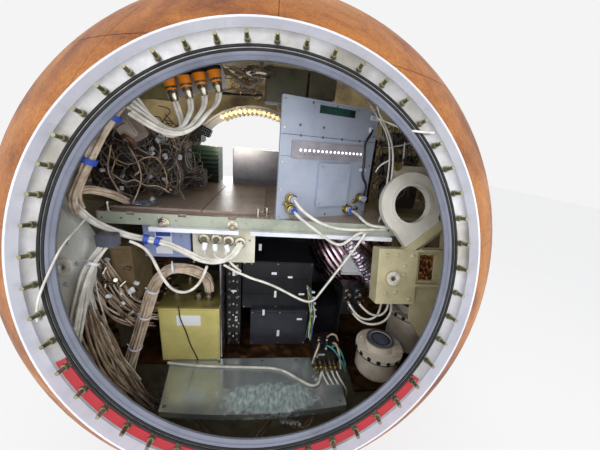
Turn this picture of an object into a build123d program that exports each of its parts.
from build123d import *
import math
import os

# A spherical return capsule seen with both hatch covers off. Millimetres, +Z up.
# The origin is the lowest point of the ball, where it sits on its carrier. The front
# hatch looks towards -Y and slightly up, the rear hatch towards +Y.

# Ball
ball_radius = 1130.0
ablator_thickness = 42.0
shell_thickness = 8.0
seat_gap = 0.3
shell_outer = ball_radius - ablator_thickness - seat_gap
shell_inner = shell_outer - shell_thickness
wall_radius = shell_inner - seat_gap
centre = Vector(0, 0, ball_radius)

# Heat shield panels, parted by narrow seams
gore_count = 12
seam_width = 1.6
seam_latitudes = (-40.0, -13.0, 14.0, 41.0)
cover_radius = 430.0
cover_gap = 4.0

# Hatches
hatch_elevation = 13.5
rear_hatch_swing = 10.0
flange_clear = 505.0
lip_width = 10.0
lip_drop = 8.0
flange_plate = 14.0
flange_neck = 16.0
flange_depth = 48.0
flange_land = 28.0
flange_sink = 5.0
seal_inset = 20.0
seal_pitch = 10.0
seal_width = 6.0
seal_height = 6.0
groove_depth = 3.5
groove_side_gap = 0.5
stud_count = 48
stud_radius = 5.0
stud_height = 33.0
nut_radius = 8.5
nut_height = 11.0
nut_to_seal = 1.5
rim_lean = 7.0
rim_edge = 5.0
rim_height = 25.0
rim_gap = 5.0
seal_radii = (flange_clear + seal_inset, flange_clear + seal_inset + seal_pitch)
stud_circle = seal_radii[1] + seal_width / 2 + nut_to_seal + nut_radius
flange_outer = stud_circle + flange_land
rim_inner_top = flange_outer + rim_lean
rim_outer = rim_inner_top + rim_edge
flange_distance = math.sqrt(ball_radius**2 - rim_outer**2) - flange_sink

# Red strip on the front flange
guard_to_seal = 3.0
guard_to_edge = 10.0
guard_thickness = 3.0
guard_from = -152.0
guard_to = -36.0

# Equipment shelf across the cabin, measured from the ball's middle and the hatch's mouth
shelf_rise = 253.0
shelf_setback = 285.5
shelf_depth = 978.0
shelf_left = -577.0
shelf_right = 520.0
shelf_plate = 6.0
shelf_frame_height = 43.0
shelf_frame_depth = 28.0
rail_height = 15.0
rail_depth = 22.0
rail_sheet = 4.0
cover_sheet = 8.0

# Lower deck and the tray in front of it
deck_drop = 389.0
deck_plate = 12.0
deck_setback = 278.5
deck_back_setback = 1413.5
deck_step = 372.0
deck_step_reach = 150.0
tray_sheet = 3.0
tray_apron = 22.0
tray_left = -342.0
tray_right = 322.0
tray_reach = 212.0
tray_bow = 29.0

# Control unit
panel_size = 415.0
panel_left = 25.0
panel_turn = 22.2
panel_thickness = 8.0
body_inset = 90.0
body_depth = 150.0

# Polished tank and the duct in front of it
tank_radius = 213.0
tank_x = 425.0
tank_drop = 222.0
tank_setback = 608.5
strap_width = 18.0
strap_height = 4.0
duct_radius = 36.0
duct_bend = 75.0

# Canisters: body and head radius, height, angle round the ball's axis and gap to the wall
canister_body = 88.0
canister_head = 98.0
canister_neck = 62.0
canister_throat = 44.0

# Brackets beside the hatch, square to its axis
bracket_depth = 60.0
bracket_wall = 8.0
bracket_back = 160.0
right_bracket_back = 208.0
frame_back = 226.0
frame_plate = 12.0
boss_radius = 26.0
boss_height = 12.0
boss_bore = 9.0
ring_radius = 114.0
ring_bore = 67.0
ring_plate = 25.0

os.makedirs("parts", exist_ok=True)


def save(builder, label):
    builder.part.label = label
    export_step(builder.part, f"parts/{label}.step")


def hatch_frame(swing):
    """Plane on a hatch flange: Z outward along the hatch axis, X level."""
    rise = math.radians(hatch_elevation)
    turn = math.radians(swing)
    outward = Vector(
        math.sin(turn) * math.cos(rise),
        -math.cos(turn) * math.cos(rise),
        math.sin(rise),
    )
    level = Vector(math.cos(turn), math.sin(turn), 0)
    return Plane(origin=centre + outward * flange_distance, x_dir=level, z_dir=outward)


def sphere_height(radius, reach):
    """Distance from the ball's centre to a sphere of this radius, this far off the axis."""
    return math.sqrt(radius**2 - reach**2)


front = hatch_frame(0)
rear = hatch_frame(180 + rear_hatch_swing)
hatches = (("front", front), ("rear", rear))

# Cabin datums that follow the ball and its front hatch
mouth_y = front.origin.Y
past_wall = wall_radius + 20
shelf_top = ball_radius + shelf_rise
shelf_bottom = shelf_top - shelf_plate
frame_bottom = shelf_top - shelf_frame_height
shelf_front = mouth_y + shelf_setback
shelf_back = shelf_front + shelf_depth
deck_top = ball_radius - deck_drop
deck_front = mouth_y + deck_setback
deck_front_right = deck_front - deck_step_reach
deck_back = mouth_y + deck_back_setback
deck_reach = sphere_height(wall_radius, deck_drop)

# Ablative heat shield in panels: gores parted by upright seams and cut across by level
# ones, round a bottom cap
with BuildPart() as heat_shield:
    with Locations(centre):
        Sphere(ball_radius)
        Sphere(ball_radius - ablator_thickness, mode=Mode.SUBTRACT)
    for side, flange_plane in hatches:
        with BuildSketch(flange_plane):
            Circle(rim_outer + rim_gap)
        extrude(amount=ablator_thickness * 5, both=True, mode=Mode.SUBTRACT)
    with BuildSketch(Plane.XY.offset(ball_radius)):
        Circle(cover_radius + cover_gap)
    extrude(amount=ball_radius * 2, mode=Mode.SUBTRACT)
    with BuildSketch():
        Circle(cover_radius + seam_width)
        Circle(cover_radius, mode=Mode.SUBTRACT)
    extrude(amount=ball_radius, mode=Mode.SUBTRACT)
    seam_from = cover_radius + seam_width / 2
    seam_to = ball_radius + seam_width
    with Locations(centre):
        with PolarLocations((seam_from + seam_to) / 2, gore_count):
            Box(seam_to - seam_from, seam_width, ball_radius * 2, mode=Mode.SUBTRACT)
    for latitude in seam_latitudes:
        level = ball_radius * math.sin(math.radians(latitude))
        with Locations(centre + Vector(0, 0, level)):
            Cylinder(seam_to, seam_width, mode=Mode.SUBTRACT)
save(heat_shield, "heat_shield")

# Parachute container cover at the top of the ball
with BuildPart() as parachute_cover:
    with Locations(centre):
        Sphere(ball_radius)
        Sphere(ball_radius - ablator_thickness, mode=Mode.SUBTRACT)
    with BuildSketch(Plane.XY.offset(ball_radius)):
        Circle(cover_radius)
    extrude(amount=ball_radius * 2, mode=Mode.INTERSECT)
save(parachute_cover, "parachute_cover")

# Welded pressure shell
with BuildPart() as pressure_shell:
    with Locations(centre):
        Sphere(shell_outer)
        Sphere(shell_inner, mode=Mode.SUBTRACT)
    for side, flange_plane in hatches:
        with BuildSketch(flange_plane):
            Circle(flange_outer + seat_gap)
        extrude(amount=ablator_thickness * 5, both=True, mode=Mode.SUBTRACT)
save(pressure_shell, "pressure_shell")

# Each hatch: machined flange with a chamfered lip, painted rim, studs and two rubber seals
for side, flange_plane in hatches:
    profile_plane = Plane(
        origin=flange_plane.origin, x_dir=flange_plane.x_dir, z_dir=-flange_plane.y_dir
    )
    hatch_axis = Axis(flange_plane.origin, flange_plane.z_dir)
    neck_inner = flange_outer - flange_neck
    with BuildPart() as flange:
        with BuildSketch(profile_plane):
            with BuildLine():
                Polyline(
                    (flange_clear, -lip_drop),
                    (flange_clear + lip_width, 0),
                    (flange_outer, 0),
                    (flange_outer, -flange_depth),
                    (neck_inner, -flange_depth),
                    (neck_inner, -flange_plate - lip_drop),
                    (neck_inner - lip_drop, -flange_plate),
                    (flange_clear, -flange_plate),
                    close=True,
                )
            make_face()
            for seal_radius in seal_radii:
                with Locations((seal_radius, -groove_depth / 2)):
                    Rectangle(seal_width + 2 * groove_side_gap, groove_depth, mode=Mode.SUBTRACT)
        revolve(axis=hatch_axis)
    save(flange, f"{side}_flange")

    with BuildPart() as rim:
        foot_in = flange_outer + seat_gap
        with BuildSketch(profile_plane):
            with BuildLine():
                Polyline(
                    (foot_in, sphere_height(shell_outer, foot_in) + 1 - flange_distance),
                    (foot_in, 0),
                    (rim_inner_top, rim_height),
                    (rim_outer, rim_height),
                    (rim_outer, sphere_height(shell_outer, rim_outer) + 1 - flange_distance),
                    close=True,
                )
            make_face()
        revolve(axis=hatch_axis)
    save(rim, f"{side}_rim")

    with BuildPart() as studs:
        with BuildSketch(flange_plane):
            with PolarLocations(stud_circle, stud_count):
                RegularPolygon(nut_radius, 6)
        extrude(amount=nut_height)
        with BuildSketch(flange_plane.offset(nut_height)):
            with PolarLocations(stud_circle, stud_count):
                Circle(stud_radius)
        extrude(amount=stud_height - nut_height)
    save(studs, f"{side}_studs")

    with BuildPart() as seals:
        with BuildSketch(profile_plane):
            for seal_radius in seal_radii:
                with Locations((seal_radius, seal_height / 2 - groove_depth)):
                    Rectangle(seal_width, seal_height)
        revolve(axis=hatch_axis)
    save(seals, f"{side}_seals")

# Red strip laid over the lower part of the front flange, with the studs through it
guard_inner = seal_radii[1] + seal_width / 2 + guard_to_seal
guard_outer = flange_outer - guard_to_edge
with BuildPart() as stud_guard:
    with BuildSketch(front):
        Circle(guard_outer)
        Circle(guard_inner, mode=Mode.SUBTRACT)
        with BuildLine():
            reach = guard_outer * 2
            middle = math.radians((guard_from + guard_to) / 2)
            Polyline(
                (0, 0),
                (reach * math.cos(math.radians(guard_from)), reach * math.sin(math.radians(guard_from))),
                (reach * 2 * math.cos(middle), reach * 2 * math.sin(middle)),
                (reach * math.cos(math.radians(guard_to)), reach * math.sin(math.radians(guard_to))),
                close=True,
            )
        make_face(mode=Mode.INTERSECT)
        with PolarLocations(stud_circle, stud_count):
            Circle(nut_radius + 1, mode=Mode.SUBTRACT)
    extrude(amount=guard_thickness)
save(stud_guard, "stud_guard")


def block(low, high, mode=Mode.ADD):
    """Box between two corners, in the part being built."""
    size = [b - a for a, b in zip(low, high)]
    middle = [(a + b) / 2 for a, b in zip(low, high)]
    with Locations(tuple(middle)):
        return Box(*size, mode=mode)


def housing(low, high, corner):
    """Upright box with rounded corners between two corners, added to the part being built."""
    with BuildSketch(Plane.XY.offset(low[2])) as outline:
        with Locations(((low[0] + high[0]) / 2, (low[1] + high[1]) / 2)):
            RectangleRounded(high[0] - low[0], high[1] - low[1], corner)
    extrude(outline.sketch, amount=high[2] - low[2])


def sockets(plane, places, radius, length):
    """Round connector shells standing on a plane, with a wider coupling ring half way up."""
    with BuildSketch(plane) as shells:
        with Locations(*places):
            Circle(radius)
    extrude(shells.sketch, amount=length)
    with BuildSketch(plane.offset(length / 3)) as rings:
        with Locations(*places):
            Circle(radius * 1.15)
    extrude(rings.sketch, amount=length / 3)


def facing_front(y):
    """Upright plane that faces the front hatch, in the cabin's own X and Z."""
    return Plane(origin=(0, y, 0), x_dir=(1, 0, 0), z_dir=(0, -1, 0))


def inside_wall():
    """Trim the part being built to the cabin wall."""
    with Locations(centre):
        Sphere(wall_radius, mode=Mode.INTERSECT)


# Shelf with its folded frame, and the pale rail under it
slot_places = (-470, -300, -130)
with BuildPart() as equipment_shelf:
    block((shelf_left, shelf_front, shelf_bottom), (shelf_right, shelf_back, shelf_top))
    block(
        (shelf_left, shelf_front, frame_bottom),
        (shelf_right, shelf_front + shelf_frame_depth, shelf_bottom),
    )
    block(
        (shelf_left, shelf_back - shelf_frame_depth, frame_bottom),
        (shelf_right, shelf_back, shelf_bottom),
    )
    for slot in slot_places:
        with Locations((slot, shelf_front, shelf_top)):
            Box(26, 20, 16, mode=Mode.SUBTRACT)
save(equipment_shelf, "equipment_shelf")

with BuildPart() as shelf_rail:
    for rail_from, rail_to in ((-405, -104), (-62, 470)):
        block(
            (rail_from, shelf_front - rail_depth, frame_bottom - rail_height),
            (rail_to, shelf_front - rail_depth + rail_sheet, frame_bottom),
        )
        block(
            (rail_from, shelf_front - rail_depth, frame_bottom - rail_sheet),
            (rail_to, shelf_front + shelf_frame_depth / 2, frame_bottom),
        )
save(shelf_rail, "shelf_rail")

with BuildPart() as shelf_cover:
    for cover_from, cover_to in ((-560, -248), (-244, -20)):
        block(
            (cover_from, shelf_front + 48, shelf_top),
            (cover_to, shelf_front + 588, shelf_top + cover_sheet),
        )
save(shelf_cover, "shelf_cover")

gusset_plate = 12.0
gusset_ends = (
    ("left", -past_wall, shelf_left - seat_gap),
    ("right", shelf_right + seat_gap, past_wall),
)
for side, gusset_from, gusset_to in gusset_ends:
    with BuildPart() as gusset:
        block(
            (gusset_from, shelf_front + 128, shelf_top - gusset_plate),
            (gusset_to, shelf_front + 908, shelf_top),
        )
        with BuildSketch(Plane.XY.offset(shelf_top)):
            with Locations(((gusset_from + gusset_to) / 2, shelf_front + 518)):
                RectangleRounded(180, 420, 40)
        extrude(amount=-gusset_plate, mode=Mode.SUBTRACT)
        inside_wall()
    save(gusset, f"shelf_gusset_{side}")

# Lower deck, cut to the cabin wall
with BuildPart() as lower_deck:
    with BuildSketch(Plane.XY.offset(deck_top - deck_plate)):
        Circle(sphere_height(wall_radius, deck_drop + deck_plate))
        with BuildLine():
            Polyline(
                (-past_wall, deck_front),
                (deck_step, deck_front),
                (deck_step, deck_front_right),
                (past_wall, deck_front_right),
                (past_wall, deck_back),
                (-past_wall, deck_back),
                close=True,
            )
        make_face(mode=Mode.INTERSECT)
    extrude(amount=deck_plate)
save(lower_deck, "lower_deck")

# Polished tray in front of the deck, with a folded apron and two feet on the wall
tray_lap = 10.0
tray_back = deck_front + tray_lap
tray_front = deck_front - tray_reach
tray_bow_y = tray_front - tray_bow + 6
with BuildPart() as front_tray:
    with BuildSketch(Plane.XY.offset(deck_top)):
        with BuildLine():
            Polyline(
                (tray_left, tray_front),
                (tray_left - 37, tray_back),
                (tray_right, tray_back),
                (tray_right, tray_front),
            )
            ThreePointArc((tray_right, tray_front), (0, tray_bow_y), (tray_left, tray_front))
        make_face()
    extrude(amount=tray_sheet)
    with BuildSketch(Plane.XY.offset(deck_top - tray_apron)):
        with BuildLine():
            ThreePointArc((tray_right, tray_front), (0, tray_bow_y), (tray_left, tray_front))
            Line((tray_left, tray_front), (tray_left, tray_front + tray_sheet))
            ThreePointArc(
                (tray_left, tray_front + tray_sheet),
                (0, tray_bow_y + tray_sheet),
                (tray_right, tray_front + tray_sheet),
            )
            Line((tray_right, tray_front + tray_sheet), (tray_right, tray_front))
        make_face()
    extrude(amount=tray_apron)
    for foot in (tray_left + 12, tray_right - 16):
        block((foot, tray_front + 17, 0), (foot + 4, tray_front + 87, deck_top))
    inside_wall()
save(front_tray, "front_tray")

# Control unit: wide front panel turned towards the hatch, with its body behind
panel_front = shelf_front - 1
panel_base = Vector(panel_left, panel_front, shelf_top)
panel_level = Vector(math.cos(math.radians(panel_turn)), math.sin(math.radians(panel_turn)), 0)
panel_face = Plane(origin=panel_base, x_dir=panel_level, z_dir=panel_level.cross(Vector(0, 0, 1)))
body_right = panel_size - 10
body_top = panel_size - 12
panel_sockets = ((50, 80), (50, 40), (372, 75), (310, 30))
with BuildPart() as control_unit:
    with BuildSketch(panel_face.offset(-panel_thickness)):
        with Locations((panel_size / 2, panel_size / 2)):
            RectangleRounded(panel_size, panel_size, 5)
    extrude(amount=panel_thickness)
    with BuildSketch(panel_face.offset(-panel_thickness)):
        with Locations(((body_inset + body_right) / 2, body_top / 2)):
            Rectangle(body_right - body_inset, body_top)
    extrude(amount=-body_depth)
    with BuildSketch(panel_face):
        with Locations((218, panel_size - 27)):
            RectangleRounded(152, 26, 5)
        with Locations((panel_size / 2, panel_size - 118)):
            Rectangle(panel_size, 1.6)
    extrude(amount=-3, mode=Mode.SUBTRACT)
    sockets(panel_face, panel_sockets, 12, 38)
save(control_unit, "control_unit")

strip_height = 5.0
lamp_count = 16
with BuildPart() as lamp_strip:
    with BuildSketch(panel_face):
        with Locations((204, 250)):
            RectangleRounded(322, 58, 3)
    extrude(amount=strip_height)
    with BuildSketch(panel_face.offset(strip_height)):
        with Locations((211.5, 249)):
            Rectangle(290, 30)
    extrude(amount=-strip_height * 0.6, mode=Mode.SUBTRACT)
    with BuildSketch(panel_face):
        with Locations((211.5, 249)):
            with GridLocations(18, 0, lamp_count, 1):
                Circle(4.5)
    extrude(amount=strip_height)
save(lamp_strip, "lamp_strip")

plate_height = 14.0
with BuildPart() as panel_plate:
    with BuildSketch(panel_face):
        with Locations((228, 127)):
            RectangleRounded(142, 164, 3)
    extrude(amount=plate_height)
    with BuildSketch(panel_face.offset(plate_height)):
        with Locations((228, 127)):
            with GridLocations(118, 140, 2, 2):
                Circle(6)
    extrude(amount=-4, mode=Mode.SUBTRACT)
save(panel_plate, "panel_plate")

# Units on the back of the shelf
fin_count = 8
fin_pitch = 24.0
fin_height = 6.0
fin_reach = 14.0
back_unit_height = 206.0
with BuildPart() as finned_unit:
    block(
        (-461, shelf_back - 270, shelf_top),
        (-313, shelf_back - 130, shelf_top + back_unit_height),
    )
    for fin in range(fin_count):
        fin_low = shelf_top + fin_reach + fin * fin_pitch
        block(
            (-466, shelf_back - 270 - fin_reach, fin_low),
            (-308, shelf_back - 270, fin_low + fin_height),
        )
save(finned_unit, "finned_unit")

with BuildPart() as grey_unit:
    housing(
        (-236, shelf_back - 230, shelf_top),
        (71, shelf_back - 40, shelf_top + back_unit_height),
        8,
    )
    block(
        (-216, shelf_back - 236, shelf_top + 24),
        (60, shelf_back - 230, shelf_top + back_unit_height - 56),
    )
save(grey_unit, "grey_unit")

# Units and connector panel under the shelf
with BuildPart() as blue_unit:
    housing((-453, shelf_front + 33, shelf_bottom - 172), (-287, shelf_front + 148, shelf_bottom), 6)
save(blue_unit, "blue_unit")

panel_socket_places = ((-230, -83), (-186, -83), (-143, -87), (-100, -93))
with BuildPart() as connector_panel:
    block((-277, shelf_front + 30, shelf_bottom - 185), (-48, shelf_front + 40, shelf_bottom))
    under_shelf = facing_front(shelf_front + 30).shift_origin((0, shelf_front + 30, shelf_bottom))
    sockets(under_shelf, panel_socket_places, 15, 26)
save(connector_panel, "connector_panel")

# Olive unit on the deck with its lid flange and side plate
olive_front = deck_front + 10
olive_back = deck_front + 302
olive_height = 260.0
lid_thickness = 8.0
lid_overhang = 5.0
with BuildPart() as olive_unit:
    block((-412, olive_front, deck_top), (-179, olive_back, deck_top + olive_height))
    block(
        (-414, olive_front - lid_overhang, deck_top + olive_height),
        (-177, olive_back + 2, deck_top + olive_height + lid_thickness),
    )
    with BuildSketch(facing_front(olive_front)):
        with Locations((-296, deck_top + olive_height / 2)):
            RectangleRounded(222, olive_height - 22, 8)
    extrude(amount=lid_overhang)
save(olive_unit, "olive_unit")

lid_top = deck_top + olive_height + lid_thickness
lid_sockets = (
    (-370, olive_front + 85),
    (-270, olive_front + 45),
    (-228, olive_front + 45),
    (-340, olive_front + 175),
    (-250, olive_front + 175),
)
with BuildPart() as olive_connectors:
    sockets(Plane.XY.offset(lid_top), lid_sockets, 14, 38)
save(olive_connectors, "olive_connectors")

with BuildPart() as olive_side_plate:
    block((-176.5, olive_front + 5, deck_top), (-171, olive_back, deck_top + 449))
save(olive_side_plate, "olive_side_plate")

# Dark units under the shelf, each with its front covers
cover_height = 3.0
slate_height = 188.0
upper_height = 231.0
with BuildPart() as rack_column:
    block((-165, deck_front + 95, deck_top), (-105, deck_front + 235, shelf_bottom))
save(rack_column, "rack_column")

with BuildPart() as slate_unit:
    block((-60, deck_front + 95, deck_top), (200, deck_front + 355, deck_top + slate_height))
    with BuildSketch(facing_front(deck_front + 95)):
        with Locations((70, deck_top + slate_height / 2)):
            RectangleRounded(240, slate_height - 24, 6)
    extrude(amount=cover_height)
save(slate_unit, "slate_unit")

with BuildPart() as upper_unit:
    block(
        (-100, deck_front + 115, deck_top + slate_height),
        (205, deck_front + 355, deck_top + slate_height + upper_height),
    )
    with BuildSketch(facing_front(deck_front + 115)):
        with Locations((52.5, deck_top + slate_height + upper_height / 2)):
            with GridLocations(0, upper_height / 3, 1, 3):
                RectangleRounded(290, upper_height / 3 - 8, 4)
    extrude(amount=cover_height)
save(upper_unit, "upper_unit")

with BuildPart() as side_unit:
    block((215, deck_front + 175, deck_top), (380, deck_front + 395, deck_top + 159))
    housing((330, deck_front + 45, deck_top + 209), (425, deck_front + 110, deck_top + 344), 6)
    block((334, deck_front + 65, deck_top), (342, deck_front + 95, deck_top + 212))
    junction_face = facing_front(deck_front + 45).shift_origin((0, deck_front + 45, deck_top))
    sockets(junction_face, ((352, 322), (398, 322), (352, 288), (398, 288), (376, 242)), 11, 20)
save(side_unit, "side_unit")

with BuildPart() as back_panel:
    block((-560, shelf_front + 560, deck_top), (510, shelf_front + 570, shelf_bottom))
save(back_panel, "back_panel")

with BuildPart() as tray_junction:
    housing(
        (215, tray_back - 55, deck_top + tray_sheet),
        (324, tray_back + 45, deck_top + 94),
        5,
    )
    junction_top = Plane.XY.offset(deck_top + 94)
    with BuildSketch(junction_top):
        with Locations((270, tray_back - 5)):
            with GridLocations(46, 40, 2, 2):
                Circle(13)
    extrude(amount=14)
save(tray_junction, "tray_junction")

# Polished tank hung under the shelf, with two raised straps round its slanted axis
tank_y = shelf_front + tank_setback - 285.5
tank_centre = Vector(tank_x, tank_y, shelf_bottom - tank_drop)
tank_axis = Vector(0.6, -0.35, 0.72).normalized()
tank_side = Vector(0, 1, 0).cross(tank_axis).normalized()
tank_profile = Plane(origin=tank_centre, x_dir=tank_side, z_dir=tank_side.cross(tank_axis))
neck_top = shelf_bottom - seat_gap
with BuildPart() as tank:
    with BuildSketch(tank_profile):
        with BuildLine():
            ThreePointArc((0, -tank_radius), (tank_radius, 0), (0, tank_radius))
            Line((0, tank_radius), (0, -tank_radius))
        make_face()
        for latitude in (-12.0, 20.0):
            slant = math.radians(latitude)
            strap_at = (tank_radius * math.cos(slant), tank_radius * math.sin(slant))
            with Locations(Location(strap_at + (0,), (0, 0, latitude))):
                Rectangle(strap_height * 2, strap_width)
    revolve(axis=Axis(tank_centre, tank_axis))
    with BuildSketch(Plane.XY.offset(neck_top)):
        with Locations((tank_x, tank_y)):
            Circle(30)
    extrude(amount=-(neck_top - tank_centre.Z - tank_radius + 6))
save(tank, "tank")

# Bright duct that slants down from the shelf and turns out to the wall
duct_y = shelf_front + 68
duct_path = (
    (278, duct_y, shelf_bottom - 22),
    (514, duct_y, shelf_bottom - 337),
    (past_wall, duct_y, shelf_bottom - 337),
)
with BuildPart() as duct:
    with BuildLine() as duct_line:
        FilletPolyline(*duct_path, radius=duct_bend)
    with BuildSketch(Plane(origin=duct_line.line @ 0, z_dir=duct_line.line % 0)):
        Circle(duct_radius)
    sweep(path=duct_line.line)
    inside_wall()
save(duct, "duct")

# Two canisters with slotted heads, their angle, gap to the wall and height
slot_count = 12
canisters = (
    ("canister_front", -54.5, 54.0, 104.0),
    ("canister_rear", -38.06, 20.0, 184.0),
)
for label, angle, wall_gap, height in canisters:
    reach = deck_reach - canister_head - wall_gap
    foot = Vector(reach * math.cos(math.radians(angle)), reach * math.sin(math.radians(angle)), deck_top)
    with BuildPart() as canister:
        with BuildSketch(Plane(origin=foot, x_dir=(1, 0, 0), z_dir=(0, -1, 0))):
            with BuildLine():
                Polyline(
                    (0, 0),
                    (canister_body - 6, 0),
                    (canister_body, 12),
                    (canister_body, height - 4),
                    (canister_body - 4, height - 4),
                    (canister_body - 4, height),
                    (canister_head, height),
                    (canister_head, height + 16),
                    (canister_neck, height + 16),
                    (canister_neck - 4, height + 48),
                    (canister_throat, height + 48),
                    (canister_throat, height + 20),
                    (0, height + 20),
                    close=True,
                )
            make_face()
        revolve(axis=Axis(foot, (0, 0, 1)))
        with Locations(foot + Vector(0, 0, height + 16)):
            with PolarLocations((canister_head + canister_neck) / 2, slot_count):
                Box(10, 22, 8, mode=Mode.SUBTRACT)
    save(canister, label)


def boss(plane, place):
    """Bored round boss on a bracket's face."""
    with BuildSketch(plane) as rim_face:
        with Locations(place):
            Circle(boss_radius)
    extrude(rim_face.sketch, amount=boss_height)
    with BuildSketch(plane.offset(boss_height)) as bore_face:
        with Locations(place):
            Circle(boss_bore)
    extrude(bore_face.sketch, amount=-boss_height - bracket_wall, mode=Mode.SUBTRACT)


# Pressed brackets beside the hatch, square to its axis
left_plane = front.offset(-bracket_back)
right_plane = front.offset(-right_bracket_back)
left_edge = -flange_clear - 36
left_outline = (
    (left_edge, 16),
    (left_edge, -98),
    (left_edge - 34, -250),
    (left_edge - 99, -330),
    (-past_wall, -330),
    (-past_wall, 500),
    (left_edge - 304, 500),
)
with BuildPart() as left_bracket:
    with BuildSketch(left_plane):
        with BuildLine():
            Polyline(*left_outline, close=True)
        make_face()
    extrude(amount=-bracket_depth)
    with BuildSketch(left_plane.offset(-bracket_wall)):
        with BuildLine():
            Polyline(*left_outline, close=True)
        make_face()
        offset(amount=-bracket_wall, mode=Mode.REPLACE)
    extrude(amount=-bracket_depth, mode=Mode.SUBTRACT)
    boss(left_plane, (left_edge - 52, -69))
    inside_wall()
save(left_bracket, "left_bracket")

box_width = 150.0
box_height = 204.0
box_left = flange_clear - 105
box_right = box_left + box_width
box_top = 14.0
with BuildPart() as right_bracket:
    with BuildSketch(right_plane):
        with Locations(((box_left + box_right) / 2, box_top - box_height / 2)):
            RectangleRounded(box_width, box_height, 4)
    extrude(amount=-bracket_depth)
    with BuildSketch(right_plane.offset(-bracket_wall)):
        with Locations(((box_left + box_right) / 2, box_top - box_height / 2)):
            Rectangle(box_width - 2 * bracket_wall, box_height - 2 * bracket_wall)
    extrude(amount=-bracket_depth, mode=Mode.SUBTRACT)
    boss(right_plane, (box_left + 56, box_top - 106))
save(right_bracket, "right_bracket")

# Frame plate beyond the box bracket, with a window, a lightening corner and ribs
frame_plane = front.offset(-frame_back)
frame_left = box_right + seat_gap
strut_foot = (box_left + 90, box_top + 1)
strut_head = (box_right + 110, box_top + 141)
with BuildPart() as right_frame:
    with BuildSketch(frame_plane):
        with BuildLine():
            Polyline(
                strut_foot,
                strut_head,
                (past_wall, box_top + 141),
                (past_wall, -330),
                (frame_left + 50, -330),
                (frame_left, -260),
                (frame_left, box_top + 6),
                close=True,
            )
        make_face()
        with Locations((frame_left + 50, -55)):
            RectangleRounded(64, 98, 6, mode=Mode.SUBTRACT)
        with BuildLine():
            Polyline(
                (frame_left + 25, box_top + 8),
                (frame_left + 100, box_top + 70),
                (frame_left + 100, box_top + 8),
                close=True,
            )
        make_face(mode=Mode.SUBTRACT)
    extrude(amount=-frame_plate)
    with BuildSketch(frame_plane):
        with BuildLine():
            Polyline(
                strut_foot,
                strut_head,
                (strut_head[0] + 22, strut_head[1] - 18),
                (strut_foot[0] + 43, strut_foot[1]),
                close=True,
            )
        make_face()
    extrude(amount=26)
    with BuildSketch(frame_plane):
        with Locations((frame_left + 90, box_top - 2), (frame_left + 90, box_top - 132)):
            Rectangle(180, 10)
    extrude(amount=22)
    inside_wall()
save(right_frame, "right_frame")

ring_plane = right_plane.shift_origin(right_plane.from_local_coords(Vector(box_right - 42, 178, 0)))
with BuildPart() as ring_bracket:
    with BuildSketch(ring_plane):
        Circle(ring_radius)
        with BuildLine():
            Polyline((-88, -60), (-10, -155.8), (112, -55.4), (60, 60), close=True)
        make_face()
        Circle(ring_bore, mode=Mode.SUBTRACT)
    extrude(amount=-ring_plate)
    with BuildSketch(ring_plane):
        Circle(ring_bore + 10)
        Circle(ring_bore, mode=Mode.SUBTRACT)
    extrude(amount=4)
save(ring_bracket, "ring_bracket")

# Equipment hung from the top of the cabin on a channel beam
beam_bottom = ball_radius + 776
beam_y = mouth_y + 453.5
beam_width = 60.0
beam_height = 24.0
beam_sheet = 6.0
with BuildPart() as top_beam:
    block((-past_wall, beam_y, beam_bottom), (past_wall, beam_y + beam_width, beam_bottom + beam_height))
    block(
        (-past_wall, beam_y + beam_sheet, beam_bottom + beam_sheet),
        (past_wall, beam_y + beam_width - beam_sheet, beam_bottom + beam_height),
        mode=Mode.SUBTRACT,
    )
    inside_wall()
save(top_beam, "top_beam")

panel_top = shelf_top + panel_size
hung_units = (
    ("top_unit_left", (-36, beam_y - 10, panel_top - 8), (118, beam_y + 80, beam_bottom)),
    ("top_unit_right", (124, beam_y - 10, panel_top + 22), (227, beam_y + 80, beam_bottom)),
)
for label, low, high in hung_units:
    with BuildPart() as unit:
        housing(low, high, 6)
    save(unit, label)

# Four plugs side by side under the ledge of a slanted plate
plug_slant = 15.4
plug_pitch = 45.0
plug_count = 4
plug_out = 24.0
plug_radius = 21.0
plug_top = 36.0
plug_foot = -27.0
plate_sheet = 5.0
plug_plane = Plane(
    origin=(-242.3, mouth_y + 303.5, ball_radius + 664.9),
    x_dir=(math.cos(math.radians(plug_slant)), 0, math.sin(math.radians(plug_slant))),
    z_dir=(0, -1, 0),
)
plate_width = plug_pitch * plug_count + 6
with BuildPart() as plug_bracket:
    with BuildSketch(plug_plane):
        with Locations((0, 230)):
            Rectangle(plate_width, 500)
    extrude(amount=-plate_sheet)
    with BuildSketch(plug_plane):
        with Locations((0, plug_top + seat_gap + plate_sheet / 2)):
            Rectangle(plate_width, plate_sheet)
    extrude(amount=plug_out * 2)
    inside_wall()
save(plug_bracket, "plug_bracket")

plug_section = plug_plane.offset(plug_out)
with BuildPart() as plugs:
    for index in range(plug_count):
        reach = (index - (plug_count - 1) / 2) * plug_pitch
        with BuildSketch(plug_section):
            with BuildLine():
                Polyline(
                    (reach, plug_top),
                    (reach + plug_radius, plug_top),
                    (reach + plug_radius, plug_top - 11),
                    (reach + plug_radius - 3, plug_top - 11),
                    (reach + plug_radius - 5, plug_foot + 22),
                    (reach + 12, plug_foot + 22),
                    (reach + 9, plug_foot),
                    (reach, plug_foot),
                    close=True,
                )
            make_face()
        spin = plug_section.from_local_coords(Vector(reach, 0, 0))
        revolve(axis=Axis(spin, plug_section.y_dir))
save(plugs, "plugs")

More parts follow.
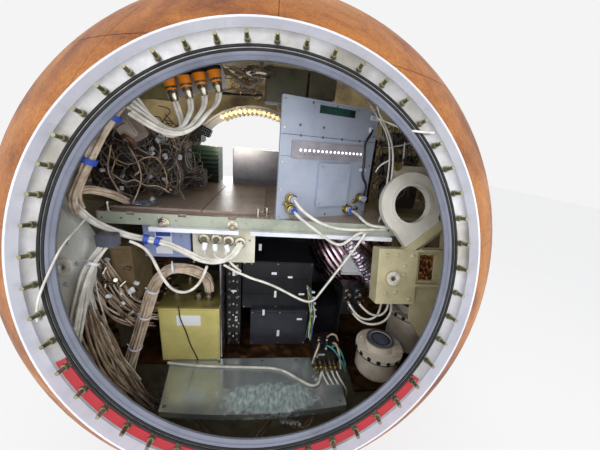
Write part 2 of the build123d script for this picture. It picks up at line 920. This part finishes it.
lamp_ring = 47.0
lamp_bore = 33.0
lamp_height = 16.0
stem_side = 12.0
lamp_x = -48.0
lamp_y = mouth_y + 333.5
lamp_z = ball_radius + 722
with BuildPart() as cabin_lamp:
    with BuildSketch(Plane.XY.offset(lamp_z)):
        with Locations((lamp_x, lamp_y)):
            Circle(lamp_ring)
            Circle(lamp_bore, mode=Mode.SUBTRACT)
    extrude(amount=lamp_height)
    stem_y = lamp_y + lamp_ring - 5
    block(
        (lamp_x - stem_side / 2, stem_y, lamp_z + lamp_height),
        (lamp_x + stem_side / 2, stem_y + stem_side, ball_radius * 2),
    )
    block(
        (lamp_x - stem_side / 2, stem_y - 8, lamp_z + lamp_height / 2),
        (lamp_x + stem_side / 2, stem_y + stem_side, lamp_z + lamp_height),
    )
    inside_wall()
save(cabin_lamp, "cabin_lamp")

# Units at the sides of the cabin
with BuildPart() as left_unit_front:
    housing((-700, shelf_front + 228, shelf_top), (-580, shelf_front + 398, shelf_top + 157), 6)
save(left_unit_front, "left_unit_front")

with BuildPart() as left_unit_back:
    housing((-570, shelf_front + 608, shelf_top), (-475, shelf_front + 798, shelf_top + 117), 6)
    with BuildSketch(Plane.XY.offset(shelf_top + 117)):
        with Locations((-505, shelf_front + 648)):
            Circle(22)
    extrude(amount=28)
save(left_unit_back, "left_unit_back")

rack_x = -614.0
rack_sheet = 13.7
with BuildPart() as side_rack:
    block(
        (rack_x, shelf_front + 78, deck_top),
        (rack_x + rack_sheet, shelf_front + 348, shelf_top - gusset_plate),
    )
save(side_rack, "side_rack")

side_box_left = rack_x + rack_sheet + seat_gap
with BuildPart() as side_box:
    block(
        (side_box_left, shelf_front + 78, deck_top + 234),
        (side_box_left + 78, shelf_front + 228, deck_top + 481),
    )
    with BuildSketch(facing_front(shelf_front + 78)):
        with Locations((side_box_left + 39, deck_top + 357)):
            RectangleRounded(62, 220, 6)
    extrude(amount=4)
save(side_box, "side_box")

with BuildPart() as right_unit:
    housing((430, shelf_front + 398, shelf_top), (shelf_right - 1, shelf_front + 598, shelf_top + 317), 6)
save(right_unit, "right_unit")

# Cables, each a round tube along its route, with arcs as wide as its runs allow
depth_axis = Vector(0, -1, 0)


def strand(route, aside, forward):
    """A route moved sideways and forward, for one cable of a bundle."""
    points = [Vector(*point) for point in route]
    moved = []
    for index, point in enumerate(points):
        before = points[max(index - 1, 0)]
        after = points[min(index + 1, len(points) - 1)]
        run = (after - before).normalized()
        side = run.cross(depth_axis).normalized()
        ahead = side.cross(run)
        moved.append(point + side * aside + ahead * forward)
    return moved


def tube(name, route, radius):
    """Round tube along a route, added to the part being built."""
    points = [Vector(*point) for point in route]
    radii = []
    for before, corner, after in zip(points, points[1:], points[2:]):
        run_in = corner - before
        run_out = after - corner
        turn = math.radians(run_in.get_angle(run_out))
        radii.append(0.45 * min(run_in.length, run_out.length) / math.tan(turn / 2))
    with BuildLine() as path:
        spine = FilletPolyline(*points, radius=radii)
    with BuildSketch(Plane(origin=spine @ 0, z_dir=spine % 0)) as section:
        Circle(radius)
    cable = sweep(section.sketch, path=spine)
    ratio = cable.volume / (math.pi * radius**2 * spine.length)
    radii_text = [round(value) for value in radii]
    print(name, "length", round(spine.length), "volume ratio", round(ratio, 4), "radii", radii_text)


# Main harness: from the wall down behind the flange and across to the connector panel
harness_radius = 6.0
harness_pitch = 13.2
harness_route = (
    (-262, -680, 1945), (-300, -690, 1868), (-343, -726, 1805), (-373, -765, 1741),
    (-404, -772, 1702), (-430, -779, 1664), (-452, -788, 1627), (-470, -795, 1588),
    (-489, -801, 1546), (-512, -803, 1502), (-535, -800, 1459), (-546, -772, 1424),
    (-530, -745, 1378), (-494, -725, 1345), (-442, -707, 1318), (-386, -700, 1307),
    (-330, -700, 1293), (-276, -698, 1262), (-226, -695, 1234), (-176, -692, 1228),
    (-136, -684, 1240), (-109, -668, 1264), (-100, -649.5, 1284),
)
with BuildPart() as shelf_harness:
    for aside in (-harness_pitch / 2, harness_pitch / 2):
        for forward in (0, harness_pitch):
            tube("shelf_harness", strand(harness_route, aside, forward), harness_radius)
    inside_wall()
save(shelf_harness, "shelf_harness")

# Leads of the four plugs, which hang in a bight and run up behind the flange
lead_radius = 6.0
lead_routes = (
    (
        (-300, -654, 1750), (-291, -654, 1717), (-280, -655, 1686), (-286, -656, 1656),
        (-310, -658, 1642), (-338, -663, 1652), (-360, -674, 1680), (-374, -692, 1708),
        (-382, -719, 1734),
    ),
    (
        (-256.6, -654, 1761.9), (-249, -658, 1730), (-256, -672, 1702), (-271, -676, 1672),
        (-300, -678, 1656), (-331, -684, 1665), (-354, -697, 1687), (-373, -714, 1707),
        (-387, -735, 1725),
    ),
    (
        (-212.9, -654, 1772.6), (-207, -662, 1742), (-223, -682, 1707), (-248, -690, 1672),
        (-286, -692, 1654), (-324, -698, 1659), (-353, -711, 1681), (-375, -725, 1699),
        (-391, -741, 1713),
    ),
    (
        (-169.3, -654, 1784), (-167, -665, 1751), (-194, -694, 1717), (-224, -704, 1675),
        (-267, -706, 1651), (-313, -712, 1651), (-348, -724, 1669), (-369, -736, 1683),
        (-386, -747, 1697),
    ),
)
with BuildPart() as plug_leads:
    for route in lead_routes:
        tube("plug_leads", route, lead_radius)
save(plug_leads, "plug_leads")

# Leads of the control unit that run down over the shelf's edge, and the wires beside it
unit_lead_radius = 5.0
wire_radius = 3.5
unit_lead_routes = (
    (
        (86.9, -668.3, 1463), (97, -685, 1450), (118, -690, 1430), (156, -688, 1404),
        (203, -682, 1381), (260, -676, 1368), (322, -672, 1366), (385, -668, 1370),
        (446, -652.5, 1368),
    ),
    (
        (86.9, -668.3, 1423), (98, -688, 1413), (124, -697, 1396), (160, -699, 1371),
        (200, -698, 1344), (236, -696, 1318), (268, -694, 1312), (295, -689, 1330),
        (322, -680, 1350), (350, -666, 1356), (376, -653.5, 1355),
    ),
    (
        (326.5, -567.5, 1413), (336, -592, 1412), (345, -618, 1406), (354, -643, 1396),
        (367, -664, 1388), (392, -671, 1383), (422, -668, 1381), (450, -658, 1379),
        (472, -653.5, 1375),
    ),
)
wire_route = (
    (283, -572, 2012), (305, -562, 1953), (330, -555, 1893), (357, -555, 1832),
    (385, -560, 1773), (416, -580, 1727), (439, -600, 1666), (447, -610, 1603),
    (452, -612, 1536), (448, -612, 1474), (438, -610, 1425), (434, -608, 1383.5),
)
with BuildPart() as unit_leads:
    for route in unit_lead_routes:
        tube("unit_leads", route, unit_lead_radius)
    tube("unit_leads", wire_route, wire_radius)
    inside_wall()
save(unit_leads, "unit_leads")

# Thick laced bundle from the olive unit's lid down past the deck to the wall
bundle_radius = 9.0
bundle_pitch = 19.6
bundle_route = (
    (-228, -592, 1048.4), (-229, -594, 1083), (-245, -604, 1122), (-274, -620, 1154),
    (-311, -636, 1174), (-350, -650, 1174), (-382, -658, 1152), (-404, -663, 1114),
    (-421, -667, 1068), (-438, -670, 1014), (-458, -672, 950), (-481, -675, 880),
    (-506, -678, 806), (-533, -678, 725), (-560, -682, 645), (-588, -700, 565),
    (-618, -735, 490),
)
with BuildPart() as tied_bundle:
    for aside in (-bundle_pitch / 2, bundle_pitch / 2):
        for forward in (0, bundle_pitch):
            tube("tied_bundle", strand(bundle_route, aside, forward), bundle_radius)
    inside_wall()
save(tied_bundle, "tied_bundle")

# Two slack cables that leave the harness and hang in loops
hanging_radius = 5.0
hanging_route = (
    (-436, -733, 1313), (-402, -733, 1300), (-377, -733, 1268), (-361, -731, 1218),
    (-342, -729, 1166), (-314, -728, 1128), (-272, -727, 1122), (-236, -726, 1150),
    (-214, -722, 1190), (-204, -718, 1224),
)
with BuildPart() as hanging_cable:
    tube("hanging_cable", hanging_route, hanging_radius)
save(hanging_cable, "hanging_cable")

long_radius = 4.5
long_route = (
    (-148, -711.5, 1228), (-115, -711, 1206), (-83, -708, 1190), (-50, -705, 1172),
    (1, -702, 1155), (55, -700, 1128), (114, -700, 1094), (159, -698, 1071),
    (189, -695, 1073), (215, -691, 1114), (253, -686, 1174), (290, -682, 1235),
    (324, -680, 1291), (345, -679, 1330), (358, -678, 1357),
)
with BuildPart() as long_cable:
    tube("long_cable", long_route, long_radius)
save(long_cable, "long_cable")
